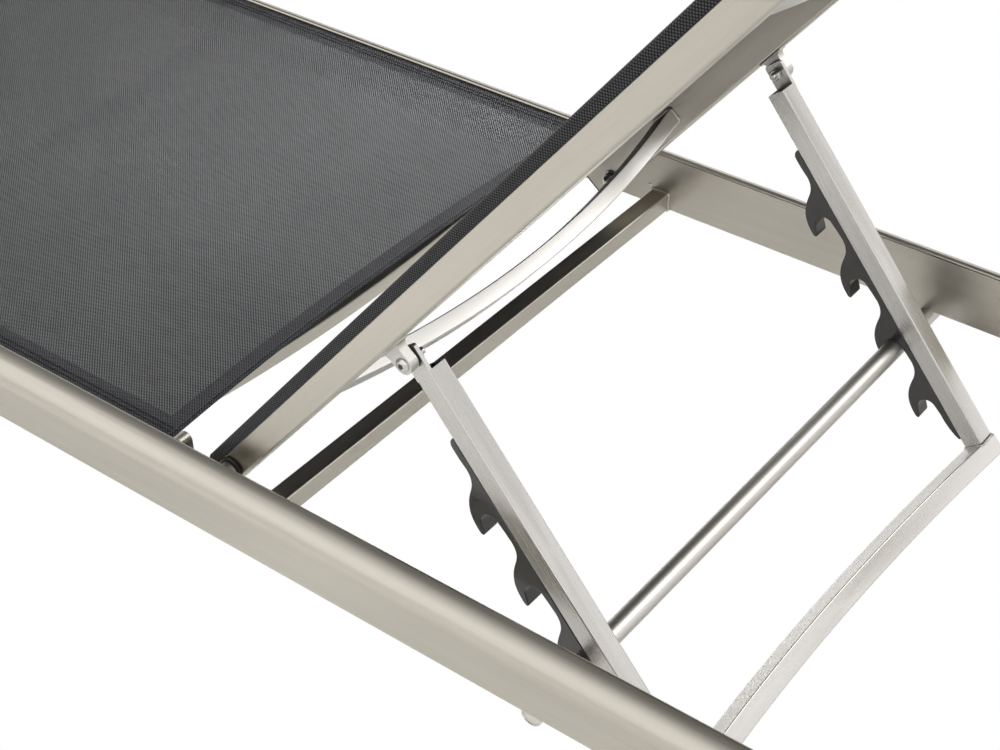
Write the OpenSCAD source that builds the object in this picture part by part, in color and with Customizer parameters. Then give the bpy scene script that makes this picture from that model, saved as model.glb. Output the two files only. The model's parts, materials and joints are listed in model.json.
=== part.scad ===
// Reclining sun lounger: welded aluminium frame, woven slings, hinged backrest and toothed prop frame.
// X runs towards the head end, Z is up, and the origin is on the floor under the middle of the frame.
// The drawn pose is the reclined one, with the support rod in the third tooth of each rack.

/* [Frame] */
// Length over the rail end caps
frame_l = 1965; // [1940:5:2000]
// Width over the outer faces of the side rails
frame_w = 670; // [660:1:680]
// Height of the underside of the side rails
rail_z = 245; // [220:1:260]
// Width of a side rail
rail_w = 23; // [22:0.5:25]
// Radius of the crowned outer top of a side rail
crown_r = 28; // [27:0.5:30]
// Height of the flat part of a rail's outer face
rail_flat = 40.5; // [38:0.5:42]
// Height of the seat sling above the rail's underside
sling_up = 62; // [61:0.5:62.5]
// Side of the square cross tubes
cross_s = 20; // [18:1:20]

/* [Backrest] */
// Angle of the backrest above level in the drawn pose
back_deg = 50.7; // [50:0.1:51]
// Length of a backrest tube beyond its pivot
back_l = 790; // [780:1:800]
// Height of the pivot above the rail's underside
pivot_up = 47; // [46:0.5:48]
// Width of a backrest tube
back_tube_w = 28; // [26:1:28]
// Gap between a rail and a backrest tube
side_gap = 16; // [15:0.5:17]

/* [Prop frame] */
// Angle of the prop legs below level in the drawn pose
prop_deg = 51.4; // [51:0.1:52]
// Side of the square prop tubes
prop_s = 20; // [18:1:20]
// Distance between the outer faces of the prop legs
prop_w = 533.6; // [532:0.2:534]
// Length of a prop leg from its hinge to its welded lower end
prop_l = 404; // [400:1:408]
// Radius of the support rod
rod_r = 9.5; // [9:0.25:9.5]
// Distance between teeth along a rack
tooth_pitch = 68.5; // [68:0.25:69]
// Width of a rack across the leg
rack_w = 17.5; // [14:0.5:18]

/* [Hidden] */
$fn = 64;
wall = 2;
tube_wall = 1.6;
gap = 0.4;
run = 0.05;
// rails
rail_h = rail_flat + sqrt(crown_r * crown_r - (crown_r - rail_w) * (crown_r - rail_w));
rail_in = frame_w / 2 - rail_w;
cap_t = 3;
keder_r = 2.6;
keder_in = 5.4;
sling_t = 1.2;
// seat
sling_rear = 109;
sling_front = -948;
sling_dip = 16.5;
brace_w = 28;
brace_t = 15;
brace_bow = 27;
brace_x = [63, -385, -690];
brace_up = 53.2;
cross_x = 197.5;
end_cross_x = 915;
leg_w = 40;
leg_t = 21;
glide_h = 14;
// pivot
pivot_x = 165;
pivot_z = rail_z + pivot_up;
stud_r = 4;
spacer_r = 8.5;
washer_r = 11.5;
washer_t = 2.4;
back_out = rail_in - side_gap;
back_in = back_out - back_tube_w;
// backrest section, measured from the pivot line
back_lo = -11.3;
back_step = 11.5;
back_hi = 20.7;
back_recess = 1.6;
back_tail = 26;
brace_low_x = 112;
brace_high_x = 718;
back_brace_n = 7.2;
back_brace_bow = 30;
// hinge, in the backrest's own frame
hinge_u = 263;
hinge_n = -27;
lug_r = 8.6;
lug_t = 9;
lug_flare = 6.5;
hinge_bolt_r = 3;
tongue_t = 3.5;
cut_s = 14;
prop_out = prop_w / 2;
lug_in = prop_out + 1.8;
// where the hinge is in the drawn pose
hinge_x = pivot_x + hinge_u * cos(back_deg) - hinge_n * sin(back_deg);
hinge_z = pivot_z + hinge_u * sin(back_deg) + hinge_n * cos(back_deg);
// rack, s runs down the leg from the hinge and d is the distance out from the leg's front face
teeth = 4;
tooth_s = 149;
tooth_d = 17.7;
notch_r = rod_r + 0.35;
rod_tooth = 2;
rod_s = tooth_s + rod_tooth * tooth_pitch;
rod_n = -prop_s / 2 - tooth_d;
rod_x = hinge_x + rod_s * cos(prop_deg) + rod_n * sin(prop_deg);
rod_z = hinge_z - rod_s * sin(prop_deg) + rod_n * cos(prop_deg);
rod_short = 4.4;
prop_bow = 23;

metal = [0.74, 0.72, 0.67];
steel = [0.80, 0.80, 0.79];
black = [0.11, 0.11, 0.12];
cloth = [0.21, 0.23, 0.23];

// ---------- shared shapes ----------

// Builds its children's flat outline, drawn as (Y, Z), from x0 to x1
module along_x(x0, x1) translate([x0, 0, 0]) rotate([90, 0, 90]) linear_extrude(x1 - x0) children();

// Builds its children's flat outline, drawn as (X, Z), from y0 to y1
module along_y(y0, y1) translate([0, y1, 0]) rotate([90, 0, 0]) linear_extrude(y1 - y0) children();

module rod_y(r, y0, y1) along_y(y0, y1) circle(r = r);

module both_sides() {
    children();
    mirror([0, 1, 0]) children();
}

module in_backrest() translate([pivot_x, 0, pivot_z]) rotate([0, -back_deg, 0]) children();

module in_prop() translate([hinge_x, 0, hinge_z]) rotate([0, prop_deg, 0]) children();

// A rectangle with its four corners rounded
module rounded(w, h, r) {
    translate([r, 0]) square([w - 2 * r, h]);
    translate([0, r]) square([w, h - 2 * r]);
    for (x = [r, w - r], y = [r, h - r]) translate([x, y]) circle(r = r, $fn = 32);
}

// A box tube between two points of X, centred on Y = 0 and Z = 0
module tube_y(w, h, y0, y1, r = 1.5) {
    along_y(y0, y1) difference() {
        translate([-w / 2, -h / 2]) rounded(w, h, r);
        translate([tube_wall - w / 2, tube_wall - h / 2]) square([w - 2 * tube_wall, h - 2 * tube_wall]);
    }
}

// A box tube across Y that sags by bow at its middle, cut off square at y = -half and y = half
module bowed_tube(half, bow, w, t) {
    radius = (half * half + bow * bow) / (2 * bow);
    sweep = asin((half + 6) / radius);
    intersection() {
        translate([0, 0, radius - bow]) rotate([0, 90, 0]) rotate([0, 0, -sweep])
            rotate_extrude(angle = 2 * sweep, $fn = 180) translate([radius, 0]) difference() {
                square([t, w], center = true);
                square([t - 2 * tube_wall, w - 2 * tube_wall], center = true);
            }
        translate([-w, -half, -bow - t]) cube([2 * w, 2 * half, bow + 3 * t]);
    }
}

// ---------- frame ----------

// Rail outline: Y = 0 is the outer face, Z = 0 the underside
module rail_outline(inset) {
    translate([inset, inset]) square([rail_w - 2 * inset, rail_flat - inset]);
    intersection() {
        translate([crown_r, rail_flat]) circle(r = crown_r - inset, $fn = 128);
        translate([inset, rail_flat - 1]) square([rail_w - 2 * inset, crown_r]);
    }
}

module rail_section() {
    difference() {
        rail_outline(0);
        intersection() {
            rail_outline(wall);
            square([rail_w, sling_up - 5.6]);
        }
        translate([rail_w - keder_in, sling_up]) circle(r = keder_r + 0.4, $fn = 32);
        translate([rail_w - keder_in, sling_up - 1]) square([keder_in + 1, 2]);
    }
}

module side_rail() {
    color(metal) difference() {
        translate([0, -frame_w / 2, rail_z]) along_x(cap_t - frame_l / 2, frame_l / 2 - cap_t) rail_section();
        translate([pivot_x, 0, pivot_z]) rod_y(stud_r, -rail_in - 4, -rail_in + 1);
        translate([rod_x, 0, rod_z]) rod_y(rod_r, -frame_w / 2 - 1, -rail_in + 1);
    }
}

module side_rail_left() side_rail();

module side_rail_right() mirror([0, 1, 0]) side_rail();

module rail_end_caps() {
    color(black) both_sides() for (x = [-frame_l / 2, frame_l / 2 - cap_t])
        translate([0, -frame_w / 2, rail_z]) along_x(x, x + cap_t) rail_outline(0);
}

module square_cross_tube() {
    color(metal) translate([cross_x, 0, rail_z + cross_s / 2]) tube_y(cross_s, cross_s, -rail_in, rail_in);
}

module end_cross_tube(x) {
    color(metal) translate([x, 0, rail_z + cross_s / 2]) tube_y(cross_s, cross_s, -rail_in, rail_in);
}

module head_cross_tube() end_cross_tube(end_cross_x);

module foot_cross_tube() end_cross_tube(-end_cross_x);

module seat_brace(x) {
    color(metal) translate([x, 0, rail_z + brace_up]) bowed_tube(rail_in, brace_bow, brace_w, brace_t);
}

module seat_brace_rear() seat_brace(brace_x[0]);

module seat_brace_middle() seat_brace(brace_x[1]);

module seat_brace_front() seat_brace(brace_x[2]);

module support_rod() {
    color(metal) translate([rod_x, 0, rod_z]) difference() {
        rod_y(rod_r, rod_short - frame_w / 2, frame_w / 2 - rod_short);
        rod_y(rod_r - tube_wall, -frame_w / 2, frame_w / 2);
    }
}

module rod_end_plugs() {
    color(metal) translate([rod_x, 0, rod_z]) both_sides()
        rod_y(rod_r - tube_wall, rod_short - frame_w / 2, rod_short - frame_w / 2 + 4);
}

module leg(x) {
    color(metal) translate([x, -frame_w / 2 + 1, 0]) translate([-leg_w / 2, 0, glide_h - 4])
        linear_extrude(rail_z - glide_h + 4) difference() {
            rounded(leg_w, leg_t, 3);
            translate([wall, wall]) square([leg_w - 2 * wall, leg_t - 2 * wall]);
        }
}

module leg_foot_left() leg(-end_cross_x);

module leg_foot_right() mirror([0, 1, 0]) leg(-end_cross_x);

module leg_head_left() leg(end_cross_x);

module leg_head_right() mirror([0, 1, 0]) leg(end_cross_x);

module foot_glides() {
    color(black) both_sides() for (x = [-end_cross_x, end_cross_x]) {
        translate([x - leg_w / 2 - 1, -frame_w / 2, 0])
            linear_extrude(glide_h - 4) rounded(leg_w + 2, leg_t + 2, 4);
        translate([x - leg_w / 2 + wall, -frame_w / 2 + 1 + wall, glide_h - 4])
            cube([leg_w - 2 * wall, leg_t - 2 * wall, 18]);
    }
}

// Ends of the seat sling at a distance y from the middle, both drawn in by the pull of the sling
function rear_x(y) = sling_rear - sling_dip * (1 - pow(y / rail_in, 2));
function front_x(y) = sling_front + sling_dip * (1 - pow(y / rail_in, 2));

module seat_sling() {
    edge = rail_in + keder_in - keder_r;
    ys = [for (i = [-12:12]) i / 12 * edge];
    rear = [for (y = ys) [rear_x(y), y]];
    front = [for (i = [24:-1:0]) [front_x(ys[i]), ys[i]]];
    color(cloth) translate([0, 0, rail_z + sling_up - sling_t / 2]) linear_extrude(sling_t)
        polygon(concat(rear, front));
}

module seat_keders() {
    color(black) both_sides() translate([0, -rail_in - keder_in, rail_z + sling_up])
        along_x(sling_front + 4, sling_rear - 4) circle(r = keder_r, $fn = 32);
}

module sling_stops() {
    color(metal) both_sides() translate([116.5, -rail_in, rail_z + 48]) rotate([-90, 0, 0]) mirror([0, 1, 0])
        linear_extrude(12) {
            translate([-7, 0]) square([14, 12]);
            translate([0, 12]) circle(r = 7, $fn = 48);
        }
}

module frame_rivets() {
    color(steel) both_sides() translate([184, 0, rail_z + 22]) rod_y(3.2, -rail_in, -rail_in + 0.8);
}

module pivot_studs() {
    color(steel) translate([pivot_x, 0, pivot_z]) both_sides()
        rod_y(stud_r, -rail_in - 4, -back_in + gap + 2);
}

module pivot_spacers() {
    color(metal) translate([pivot_x, 0, pivot_z]) both_sides() difference() {
        rod_y(spacer_r, -rail_in, -back_out - gap - washer_t);
        rod_y(stud_r, -rail_in - 1, -back_out);
    }
}

module pivot_washers() {
    color(black) translate([pivot_x, 0, pivot_z]) both_sides() difference() {
        rod_y(washer_r, -back_out - gap - washer_t, -back_out - gap);
        rod_y(stud_r, -rail_in, -back_out);
    }
}

module pivot_cap_nuts() {
    color(steel) translate([pivot_x, 0, pivot_z]) both_sides() difference() {
        union() {
            rod_y(9, -back_in + gap, -back_in + gap + 1.4);
            along_y(-back_in + gap + 1.4, -back_in + gap + 6.4) circle(r = 7.4, $fn = 6);
            intersection() {
                translate([0, -back_in + gap + 5.2, 0]) sphere(r = 5.8);
                rod_y(5.8, -back_in + gap + 5, -back_in + gap + 14);
            }
        }
        rod_y(stud_r, -back_in, -back_in + gap + 2);
    }
}

// ---------- backrest ----------

// Tube outline: Y = 0 is the outer face, Z = 0 the pivot line
module back_tube_outline() {
    translate([0, back_lo]) {
        translate([0, 3]) square([back_tube_w, back_step - back_lo - 3]);
        translate([3, 0]) square([back_tube_w - 6, 4]);
        for (y = [3, back_tube_w - 3]) translate([y, 3]) circle(r = 3, $fn = 32);
    }
    translate([back_recess, back_step - 1]) square([back_tube_w - back_recess, back_hi - back_step - 2]);
    translate([back_recess + 3, back_step]) square([back_tube_w - back_recess - 6, back_hi - back_step]);
    for (y = [back_recess + 3, back_tube_w - 3]) translate([y, back_hi - 3]) circle(r = 3, $fn = 32);
}

module back_tube() {
    color(metal) in_backrest() difference() {
        translate([0, -back_out, 0]) along_x(-back_tail, back_l) difference() {
            back_tube_outline();
            translate([wall, back_lo + wall]) square([back_tube_w - 2 * wall, 16.6]);
            translate([11, 5]) square([back_tube_w - 11 - wall, back_hi - 5 - wall]);
            translate([7, back_step + 1.9]) circle(r = 2.6, $fn = 32);
            translate([-1, back_step + 0.9]) square([8, 2]);
        }
        rod_y(stud_r + run, -back_out - 1, -back_in + 1);
    }
}

module back_tube_left() back_tube();

module back_tube_right() mirror([0, 1, 0]) back_tube();

module back_tube_caps() {
    color(black) in_backrest() both_sides() for (x = [-back_tail - 2.5, back_l])
        translate([0, -back_out, 0]) along_x(x, x + 2.5) back_tube_outline();
}

module back_brace(x) {
    color(metal) in_backrest() translate([x, 0, back_brace_n])
        bowed_tube(back_in, back_brace_bow, brace_w, brace_t);
}

module back_brace_lower() back_brace(brace_low_x);

module back_brace_upper() back_brace(brace_high_x);

module backrest_sling() {
    flap = back_out - back_recess + 0.2;
    color(cloth) in_backrest() along_x(-20, back_l - 12) {
        translate([-flap - sling_t, back_hi + 0.1]) square([2 * (flap + sling_t), sling_t]);
        for (y = [-flap - sling_t, flap])
            translate([y, back_step + 0.4]) square([sling_t, back_hi - back_step + 0.7]);
    }
}

module back_keders() {
    color(black) in_backrest() both_sides() translate([0, -back_out + 7, back_step + 1.9])
        along_x(-18, back_l - 14) circle(r = 2.4, $fn = 32);
}

// Plate with a round end below, flaring a little to its welded foot on the tube's underside
module hinge_lug() {
    neck = back_lo - hinge_n;
    foot = lug_r + lug_flare;
    color(metal) in_backrest() translate([hinge_u, 0, hinge_n]) difference() {
        along_y(-lug_in - lug_t, -lug_in) difference() {
            union() {
                circle(r = lug_r);
                translate([-lug_r, 0]) square([2 * lug_r, neck]);
                translate([-foot, neck - lug_flare]) square([2 * foot, lug_flare]);
            }
            for (x = [-foot, foot]) translate([x, neck - lug_flare]) circle(r = lug_flare);
        }
        rod_y(hinge_bolt_r, -lug_in - lug_t - 1, -lug_in + 1);
    }
}

module hinge_lug_left() hinge_lug();

module hinge_lug_right() mirror([0, 1, 0]) hinge_lug();

module in_hinge() in_backrest() translate([hinge_u, 0, hinge_n]) children();

module hinge_bolts() {
    color(steel) in_hinge() both_sides() {
        rod_y(hinge_bolt_r, -lug_in - lug_t, -prop_out + tongue_t + 9.5);
        difference() {
            intersection() {
                rod_y(6.2, -lug_in - lug_t - 3.2, -lug_in - lug_t);
                translate([0, -lug_in - lug_t + 4.6, 0]) sphere(r = 7.8);
            }
            along_y(-lug_in - lug_t - 4, -lug_in - lug_t - 1.4) circle(r = 2.2, $fn = 6);
        }
    }
}

module hinge_washers() {
    color(black) in_hinge() both_sides() difference() {
        rod_y(8.2, -lug_in, -lug_in + 1.4);
        rod_y(hinge_bolt_r, -lug_in - 1, -lug_in + 2);
    }
}

module hinge_nuts() {
    color(steel) in_hinge() both_sides() difference() {
        along_y(-prop_out + tongue_t + gap, -prop_out + tongue_t + gap + 5) circle(r = 5.8, $fn = 6);
        rod_y(hinge_bolt_r, -prop_out, -prop_out + 20);
    }
}

// ---------- prop frame ----------

// Leg from its cut upper end down, with the outer wall carried on as a tongue past the hinge bolt
module prop_leg() {
    half = prop_s / 2;
    color(metal) in_prop() difference() {
        union() {
            along_x(cut_s, prop_l) difference() {
                translate([-prop_out, -half]) rounded(prop_s, prop_s, 1.5);
                translate([-prop_out + wall, wall - half]) square([prop_s - 2 * wall, prop_s - 2 * wall]);
            }
            along_y(-prop_out, -prop_out + tongue_t) {
                translate([-half, -half]) rounded(cut_s, prop_s, 3);
                translate([0, wall - half]) square([cut_s + 30, prop_s - 2 * wall]);
                translate([0, -half]) square([cut_s, prop_s]);
            }
        }
        rod_y(hinge_bolt_r + run, -prop_out - 1, -prop_out + tongue_t + 1);
    }
}

module prop_leg_left() prop_leg();

module prop_leg_right() mirror([0, 1, 0]) prop_leg();

module prop_cross_tube() {
    color(metal) in_prop() translate([prop_l + prop_s / 2, 0, 3])
        bowed_tube(prop_out, prop_bow, prop_s, prop_s);
}

// One tooth: the back curve out to the tip, and the mouth back to the strip, as (s, d)
tooth = [
    [-50, 6.2], [-44, 7.2], [-38.5, 10], [-34.5, 13.8], [-30.5, 19], [-25.5, 24.6],
    [-19.5, 29.3], [-13, 32.5], [-5.5, 34.2], [1.5, 34.6], [4.9, 34.2], [6.5, 32.7],
    [5.8, 30.9], [1.8, 29.1], [-2.8, 27.4], [-6.4, 24.6], [-8.8, 20], [-9.6, 15.4],
    [-7.6, 11.4], [-4.2, 9], [0, 7.9], [9, 6.8]
];

module rack_outline() {
    difference() {
        polygon(concat(
            [[71, 0], [71.6, 3.4], [74, 6.2], [78, 7.2], [88, 7.2]],
            [for (i = [0:teeth - 1], p = tooth) [tooth_s + i * tooth_pitch + p[0], p[1]]],
            [[372, 6.7], [380, 5.8], [388, 4], [393, 2], [394, 0]]
        ));
        for (i = [0:teeth - 1]) translate([tooth_s + i * tooth_pitch, tooth_d]) circle(r = notch_r);
    }
}

// Both racks lie flush with their leg's face towards -Y
module rack(y) {
    color(black) in_prop() translate([0, 0, -prop_s / 2]) mirror([0, 0, 1])
        along_y(y, y + rack_w) rack_outline();
}

module rack_left() rack(-prop_out);

module rack_right() rack(prop_out - prop_s);

// ---------- every piece ----------

// One name from the list builds that piece alone
side_rail_left();
side_rail_right();
rail_end_caps();
square_cross_tube();
head_cross_tube();
foot_cross_tube();
seat_brace_rear();
seat_brace_middle();
seat_brace_front();
support_rod();
rod_end_plugs();
leg_foot_left();
leg_foot_right();
leg_head_left();
leg_head_right();
foot_glides();
seat_sling();
seat_keders();
sling_stops();
frame_rivets();
pivot_studs();
pivot_spacers();
pivot_washers();
pivot_cap_nuts();
back_tube_left();
back_tube_right();
back_tube_caps();
back_brace_lower();
back_brace_upper();
backrest_sling();
back_keders();
hinge_lug_left();
hinge_lug_right();
hinge_bolts();
hinge_washers();
hinge_nuts();
prop_leg_left();
prop_leg_right();
prop_cross_tube();
rack_left();
rack_right();
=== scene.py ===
"""Looks of the reclining sun lounger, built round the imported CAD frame.

Sizes are in millimetres until a point is placed.
"""
import json
import math

import bmesh
import bpy
from mathutils import Matrix, Vector


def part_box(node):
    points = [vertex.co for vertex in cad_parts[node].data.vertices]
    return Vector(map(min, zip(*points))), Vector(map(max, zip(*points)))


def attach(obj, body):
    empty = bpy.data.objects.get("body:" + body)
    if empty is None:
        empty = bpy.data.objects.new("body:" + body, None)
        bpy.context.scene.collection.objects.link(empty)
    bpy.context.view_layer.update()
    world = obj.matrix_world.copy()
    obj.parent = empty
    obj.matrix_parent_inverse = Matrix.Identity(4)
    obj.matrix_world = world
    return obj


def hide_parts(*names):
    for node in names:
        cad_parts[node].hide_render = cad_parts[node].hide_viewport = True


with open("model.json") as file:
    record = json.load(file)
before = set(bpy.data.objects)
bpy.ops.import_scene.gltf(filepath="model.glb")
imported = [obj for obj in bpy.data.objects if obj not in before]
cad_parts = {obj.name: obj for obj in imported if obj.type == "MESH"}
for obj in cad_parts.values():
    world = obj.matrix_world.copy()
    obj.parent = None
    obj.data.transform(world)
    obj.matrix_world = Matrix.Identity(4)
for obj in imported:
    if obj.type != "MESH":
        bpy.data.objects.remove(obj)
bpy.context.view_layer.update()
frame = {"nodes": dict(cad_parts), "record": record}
MM = 0.001


def mid(node):
    """Centre of a CAD node's box, in millimetres."""
    lo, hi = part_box(node)
    return [(a + b) / 2 / MM for a, b in zip(lo, hi)]


# ---------------------------------------------------------------- where things are
BACK_DEG, PROP_DEG = 50.7, 51.4
joint_at = {j["name"]: j["pos_m"] for j in frame["record"]["behaviour"]["joints"]}
PIVOT = Vector(joint_at["backrest_recline"])
HINGE = Vector(joint_at["prop_swing"])
IDENTITY = Matrix.Identity(4)
BACK = Matrix.Translation(PIVOT) @ Matrix.Rotation(math.radians(-BACK_DEG), 4, "Y")
PROP = Matrix.Translation(HINGE) @ Matrix.Rotation(math.radians(PROP_DEG), 4, "Y")
MIRROR = Matrix.Scale(-1, 4, (0, 1, 0))

HALF_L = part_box("rail_end_caps")[1][0] / MM
HALF_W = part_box("rail_end_caps")[1][1] / MM
RAIL_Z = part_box("side_rail_left")[0][2] / MM
RAIL_W, CROWN_R, FLAT = 23.0, 28.0, 40.5
RAIL_IN = HALF_W - RAIL_W
EDGE_R = 2.6
CAP_T = 3.0
SLING_UP, SLING_T = 62.0, 1.2
TUCK = 2.8
SQUARE = 20.0
BACK_GAP, TUBE_W = 16.0, 28.0
BACK_OUT = RAIL_IN - BACK_GAP
BACK_IN = BACK_OUT - TUBE_W
BACK_START, BACK_L = -26.0, 790.0
PROP_OUT = 266.8
PROP_L = 404.0
ROD = mid("support_rod")
ROD_R = 9.5
# each side with whether it is the mirror image of the one that is drawn
SIDES = (("left", False), ("right", True))


# ---------------------------------------------------------------- mesh tools
def on_axis(axis, a, u, v):
    """The point with a along the axis, and u and v along the other two."""
    return {"x": (a, u, v), "y": (u, a, v), "z": (u, v, a)}[axis]


class Shape:
    """Gathers faces in a local frame, and keeps each point's place along the grain for the materials."""

    def __init__(self, place=IDENTITY, grain="xyz"):
        self.place, self.grain = place, ["xyz".index(c) for c in grain]
        self.points, self.faces, self.along, self.mats = [], [], [], []

    def add(self, points, faces, mat=0, along=None):
        """Adds faces over new points. Without along, the grain runs as the shape's own axes say."""
        n = len(self.points)
        self.points += [Vector(p) for p in points]
        self.along += along or [tuple(p[i] for i in self.grain) for p in points]
        self.faces += [[n + i for i in f] for f in faces]
        self.mats += [mat] * len(faces)

    def loft(self, rings, mat=0, closed=False, along=None):
        """A skin over rings of equal length, with both ends capped unless the loop is closed."""
        k, n = len(rings[0]), len(rings)
        faces = []
        for i in range(n if closed else n - 1):
            a, b = i * k, (i + 1) % n * k
            faces += [[a + j, a + (j + 1) % k, b + (j + 1) % k, b + j] for j in range(k)]
        if not closed:
            faces += [list(range(k))[::-1], [(n - 1) * k + j for j in range(k)]]
        self.add([p for r in rings for p in r], faces, mat, along)

    def prism(self, outline, a0, a1, axis, steps=1, mat=0):
        """The outline is drawn as (Y, Z) for axis x, (X, Z) for axis y and (X, Y) for axis z."""
        rings = []
        for i in range(steps + 1):
            a = a0 + (a1 - a0) * i / steps
            rings.append([on_axis(axis, a, u, v) for u, v in outline])
        self.loft(rings, mat)

    def lathe(self, profile, centre, n=48):
        """Turned about a line along Y. The profile is (place along Y, radius)."""
        rings = []
        for h, r in profile:
            r = max(r, 0.01)
            ring = []
            for a in (2 * math.pi * j / n for j in range(n)):
                spot = (r * math.cos(a), h, r * math.sin(a))
                ring.append(tuple(c + q for c, q in zip(centre, spot)))
            rings.append(ring)
        self.loft(rings)

    def sweep(self, path, radius, n, closed=False):
        """A round bar along a path. radius may be a function of the distance along it."""
        pts = [Vector(p) for p in path]
        size = radius if callable(radius) else lambda s: radius
        rings, s, up = [], 0.0, None
        for i, p in enumerate(pts):
            before = pts[i - 1] if i or closed else p
            after = pts[(i + 1) % len(pts)] if i + 1 < len(pts) or closed else p
            t = (after - before).normalized()
            if up is None:
                up = t.orthogonal().normalized()
            up = (up - t * up.dot(t)).normalized()
            side = t.cross(up)
            r = size(s)
            rings.append([tuple(p + up * math.cos(a) * r + side * math.sin(a) * r)
                          for a in (2 * math.pi * j / n for j in range(n))])
            s += (after - p).length
        self.loft(rings, closed=closed)

    def build(self, name, body, mats, nodes=(), *, slot, bevel=0.0, segments=2, sharp=38, flip=False):
        """Makes the piece, mirrored if flip is set, with the body it rides on and the nodes it replaces."""
        bm = bmesh.new()
        layer = bm.verts.layers.float_vector.new("grain")
        place = MIRROR @ self.place if flip else self.place
        made = []
        for p, g in zip(self.points, self.along):
            v = bm.verts.new(place @ (p * MM))
            v[layer] = Vector(g) * MM
            made.append(v)
        bm.verts.ensure_lookup_table()
        for f, m in zip(self.faces, self.mats):
            bm.faces.new([made[i] for i in f]).material_index = m
        bmesh.ops.recalc_face_normals(bm, faces=bm.faces)
        mesh = bpy.data.meshes.new(name)
        bm.to_mesh(mesh)
        bm.free()
        ob = bpy.data.objects.new(name, mesh)
        bpy.context.scene.collection.objects.link(ob)
        for m in mats:
            mesh.materials.append(m)
        mesh.shade_smooth()
        if bevel:
            mod = ob.modifiers.new("edge", "BEVEL")
            mod.width, mod.segments, mod.limit_method = bevel * MM, segments, "ANGLE"
            mod.angle_limit, mod.harden_normals = math.radians(sharp), True
        else:
            mesh.set_sharp_from_angle(angle=math.radians(sharp))
            mod = ob.modifiers.new("flat", "WEIGHTED_NORMAL")
            mod.keep_sharp = True
        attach(ob, body)
        if nodes:
            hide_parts(*nodes)
        return ob


def arc(cx, cy, r, a0, a1, n):
    """Points of an arc from a0 to a1 degrees, in n steps."""
    return [(cx + r * math.cos(math.radians(a0 + (a1 - a0) * i / n)),
             cy + r * math.sin(math.radians(a0 + (a1 - a0) * i / n))) for i in range(n + 1)]


def rounded(w, h, r, n=4, at=(0, 0)):
    """A rectangle with round corners, counter-clockwise round the point at."""
    out = []
    for sx, sy, a in ((1, -1, -90), (1, 1, 0), (-1, 1, 90), (-1, -1, 180)):
        out += arc(at[0] + sx * (w / 2 - r), at[1] + sy * (h / 2 - r), r, a, a + 90, n)
    return out


def smooth_line(points, per):
    """A Catmull-Rom line through the points, without the last one."""
    out = []
    for i in range(len(points) - 1):
        p0, p1 = points[max(i - 1, 0)], points[i]
        p2, p3 = points[i + 1], points[min(i + 2, len(points) - 1)]
        for k in range(per):
            t = k / per
            out.append(tuple(0.5 * (2 * b + (c - a) * t + (2 * a - 5 * b + 4 * c - d) * t * t
                                    + (3 * b - a - 3 * c + d) * t ** 3)
                             for a, b, c, d in zip(p0, p1, p2, p3)))
    return out


def bowed_rings(half, bow, w, t, at, corner, steps=56):
    """Rings of a box tube across Y that sags by bow, and each point's place along its grain."""
    radius = (half * half + bow * bow) / (2 * bow)
    rings, along = [], []
    for i in range(steps + 1):
        y = half * (2 * i / steps - 1)
        a = math.asin(y / radius)
        ring = []
        for u, v in rounded(w, t, corner):
            r = radius - v
            yy, zz = r * math.sin(a), radius - r * math.cos(a) - bow
            if i in (0, steps):  # the ends are cut square to Y
                yy, zz = y, zz + (y - yy) * math.tan(a)
            ring.append((at[0] + u, at[1] + yy, at[2] + zz))
            along.append((y, u, v))
        rings.append(ring)
    return rings, along


def weld(shape, path, r, pitch=2.3, closed=True):
    """A stitched weld bead along a path, with its points set at even steps."""
    pts = [Vector(p) for p in path]
    if closed:
        pts.append(pts[0])
    total = sum((b - a).length for a, b in zip(pts, pts[1:]))
    n = max(8, int(total / 0.75))
    out, i, s = [], 0, 0.0
    for k in range(n):
        d = total * k / (n if closed else n - 1)
        while i < len(pts) - 2 and s + (pts[i + 1] - pts[i]).length < d:
            s += (pts[i + 1] - pts[i]).length
            i += 1
        seg = pts[i + 1] - pts[i]
        out.append(pts[i] + seg * min(1.0, (d - s) / max(seg.length, 1e-6)))
    ripples = max(1, round(total / pitch))
    shape.sweep(out, lambda d: r * (0.9 + 0.16 * abs(math.sin(math.pi * ripples * d / total))), 10, closed)


def outward(k, steps):
    """Lathe steps on one side: k is -1 or 1, and each step is (distance from the middle, radius)."""
    return [(k * h, r) for h, r in steps]


def ring_steps(h0, h1, bore, radius, chamfer, drop):
    """Steps of a ring from h0 in to h1, chamfered by chamfer along it and by drop across it."""
    edge = radius - drop
    return [(h0, bore), (h0, edge), (h0 - chamfer, radius), (h1 + chamfer, radius), (h1, edge), (h1, bore)]


# ---------------------------------------------------------------- materials
def new_material(name):
    """A material with one Principled shader: the material, its tree, the shader and the output."""
    m = bpy.data.materials.new(name)
    m.use_nodes = True
    nt = m.node_tree
    nt.nodes.clear()
    out = nt.nodes.new("ShaderNodeOutputMaterial")
    bsdf = nt.nodes.new("ShaderNodeBsdfPrincipled")
    nt.links.new(bsdf.outputs[0], out.inputs[0])
    return m, nt, bsdf, out


def node(nt, kind, **values):
    """A node with each value set on its input, or on itself where it has no such input."""
    n = nt.nodes.new(kind)
    for k, v in values.items():
        if k in n.inputs:
            n.inputs[k].default_value = v
        else:
            setattr(n, k, v)
    return n


def grain_map(nt, scale):
    """Places along the grain, scaled for a texture."""
    at = node(nt, "ShaderNodeAttribute", attribute_name="grain")
    mp = node(nt, "ShaderNodeMapping")
    mp.inputs["Scale"].default_value = scale
    nt.links.new(at.outputs["Vector"], mp.inputs["Vector"])
    return mp.outputs[0]


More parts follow.
